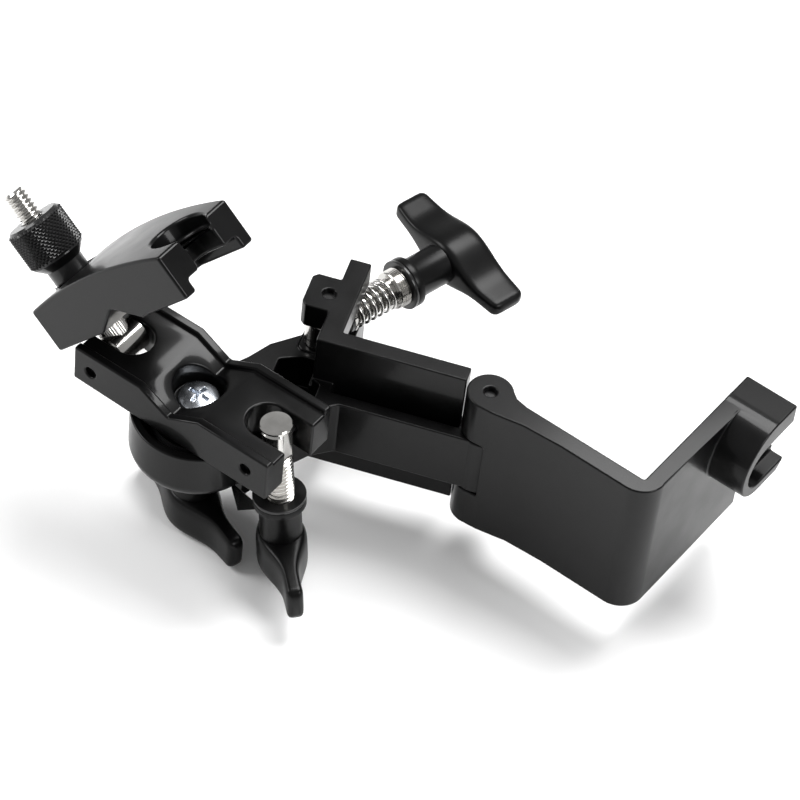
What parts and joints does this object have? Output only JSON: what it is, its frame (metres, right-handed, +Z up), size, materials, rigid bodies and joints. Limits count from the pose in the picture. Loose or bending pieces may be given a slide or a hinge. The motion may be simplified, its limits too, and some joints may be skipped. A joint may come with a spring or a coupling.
{
  "type": "tube and rod clamp",
  "caption": "Black clamp with a hinged corner jaw for square tube and a hinged two-jaw rod clamp joined by a locking friction swivel.",
  "frame": {"origin": "middle of the fixed jaw's rail face that the tube rests on", "axes": "+Z up along the tube, the hinge and the hub; X along the rail, with the flange and hub at -X; +Y from the rail into the space for the tube"},
  "size_m": [0.2049, 0.1199, 0.1051],
  "materials": {
    "black_casting": "satin",
    "black_handle": "satin",
    "black_steel": "matte",
    "bright_steel": "polished",
    "disc_fibre": "matte"
  },
  "bodies": {
    "fixed_jaw": {"clamp_body": "black_casting", "hinge_pin": "black_steel", "bolt_pivot_pin": "black_steel", "friction_disc": "disc_fibre"},
    "swing_jaw": {"hinged_jaw": "black_casting"},
    "closing_bolt_group": {"closing_bolt": "bright_steel", "closing_spring": "bright_steel", "spring_washer": "black_steel", "spring_bushing": "bright_steel"},
    "closing_slider": {"closing_washer": "black_steel"},
    "closing_handle": {"closing_handle": "black_handle"},
    "rod_base": {"rod_clamp_base": "black_casting", "hub_screw": "bright_steel", "grip_disc": "disc_fibre", "hub_washer": "black_steel", "stud_pin": "black_steel", "swing_pin": "black_steel"},
    "hub_handle": {"hub_handle": "black_handle"},
    "stud": {"stud_bolt": "bright_steel"},
    "rod_jaw": {"upper_jaw": "black_casting"},
    "nut": {"knurled_nut": "black_steel"},
    "swing_bolt_group": {"swing_bolt": "bright_steel", "swing_washer": "black_steel"},
    "swing_handle": {"swing_handle": "black_handle"}
  },
  "joints": [
    {"name": "jaw_hinge", "type": "hinge", "parent": "fixed_jaw", "child": "swing_jaw", "pos_m": [0.0214, -0.0061, 0], "axis": [0, 0, 1], "range_deg": [-45, 110.8]},
    {"name": "closing_bolt_swing", "type": "hinge", "parent": "fixed_jaw", "child": "closing_bolt_group", "pos_m": [-0.0266, 0.0115, 0.01025], "axis": [0, 0, 1], "range_deg": [-30.35, 74.44]},
    {"name": "closing_handle_travel", "type": "slide", "parent": "closing_bolt_group", "child": "closing_slider", "axis": [0.5563, 0.831, 0], "range_m": [-0.00001, 0.01601]},
    {"name": "closing_handle_turn", "type": "hinge", "parent": "closing_slider", "child": "closing_handle", "pos_m": [-0.0266, 0.0115, 0.01025], "axis": [0.5563, 0.831, 0], "range_deg": [0, 4608]},
    {"name": "hub_swivel", "type": "hinge", "parent": "fixed_jaw", "child": "rod_base", "pos_m": [-0.0491, -0.0254, 0.00825], "axis": [0, 0, 1], "range_deg": [-60, 3]},
    {"name": "hub_handle_turn", "type": "hinge", "parent": "rod_base", "child": "hub_handle", "pos_m": [-0.0491, -0.0254, -0.01715], "axis": [0, 0, 1], "range_deg": [-95, 12]},
    {"name": "stud_tilt", "type": "hinge", "parent": "rod_base", "child": "stud", "pos_m": [-0.07229, -0.01705, 0.0152], "axis": [0.3387, 0.9409, 0], "range_deg": [0, 51.5]},
    {"name": "upper_jaw_slide", "type": "slide", "parent": "stud", "child": "rod_jaw", "axis": [0.727, -0.2618, -0.6347], "range_m": [-0.006, 0]},
    {"name": "knurled_nut_turn", "type": "hinge", "parent": "rod_jaw", "child": "nut", "pos_m": [-0.0941, -0.0092, 0.03424], "axis": [0.727, -0.2618, -0.6347], "range_deg": [-1702.79, 2]},
    {"name": "swing_bolt_swing", "type": "hinge", "parent": "rod_base", "child": "swing_bolt_group", "pos_m": [-0.02591, -0.03375, 0.0152], "axis": [-0.3387, -0.9409, 0], "range_deg": [0, 173.2]},
    {"name": "swing_handle_turn", "type": "hinge", "parent": "swing_bolt_group", "child": "swing_handle", "pos_m": [-0.02368, -0.03455, -0.00466], "axis": [-0.1114, 0.0401, 0.993], "range_deg": [-75, 25]}
  ],
  "couplings": [
    {"joint": "closing_bolt_swing", "follows": "jaw_hinge", "ratio": 0.67},
    {"joint": "closing_handle_travel", "follows": "closing_handle_turn", "m_per_rad": 0.00019894},
    {"joint": "knurled_nut_turn", "follows": "upper_jaw_slide", "rad_per_m": 4947.4}
  ]
}
